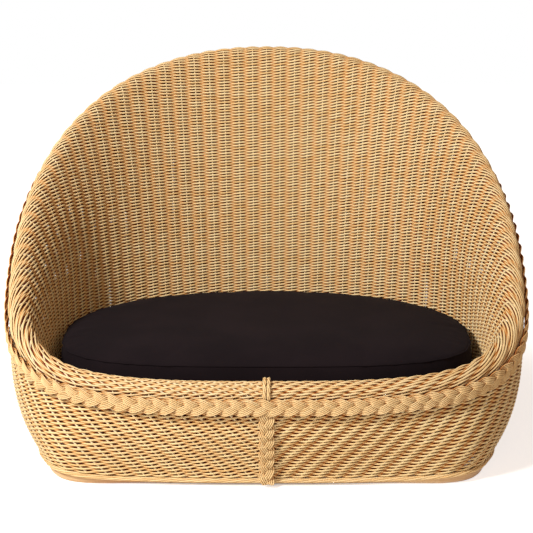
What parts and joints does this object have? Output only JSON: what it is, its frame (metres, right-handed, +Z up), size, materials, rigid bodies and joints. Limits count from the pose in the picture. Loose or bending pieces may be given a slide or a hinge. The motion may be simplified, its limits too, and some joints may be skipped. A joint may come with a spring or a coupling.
{
  "type": "floor chair",
  "caption": "Low, wide woven rattan bucket seat with a high curved back, a rolled and plaited rim, and a loose seat cushion that lifts out.",
  "frame": {"origin": "on the floor, at the middle of the chair's width and depth", "axes": "+X to the sitter's left, across the width; -Y the way the chair faces; +Z up"},
  "size_m": [1.1422, 0.892, 0.8294],
  "materials": {
    "pole": "smooth peeled rattan pole, satin",
    "weave": "close weave of natural rattan strands, satin",
    "plait": "plait of flat bundles of natural rattan strands, satin",
    "cushion": "plain black woven cloth, matt"
  },
  "bodies": {
    "chair": {"base_ring": "pole", "seat_ring": "pole", "rim_hoop": "pole", "upright_1": "pole", "upright_2": "pole", "upright_3": "pole", "upright_4": "pole", "upright_5": "pole", "upright_6": "pole", "upright_7": "pole", "upright_8": "pole", "upright_9": "pole", "upright_10": "pole", "seat_post_1": "pole", "seat_post_2": "pole", "seat_post_3": "pole", "seat_post_4": "pole", "seat_post_5": "pole", "seat_post_6": "pole", "seat_post_7": "pole", "seat_post_8": "pole", "seat_post_9": "pole", "seat_post_10": "pole", "seat_pole_1": "pole", "seat_pole_2": "pole", "seat_pole_3": "pole", "seat_pole_4": "pole", "inner_weave": "weave", "outer_weave": "weave", "seat_weave": "weave", "rim_plait": "plait", "front_plait": "plait", "skirt_border": "plait", "seam_strand_left": "plait", "seam_strand_right": "plait"},
    "cushion": {"seat_cushion": "cushion"}
  },
  "joints": [
    {"name": "cushion_lift", "type": "slide", "parent": "chair", "child": "cushion", "axis": [0, 0, 1], "range_m": [0, 0.3]}
  ]
}
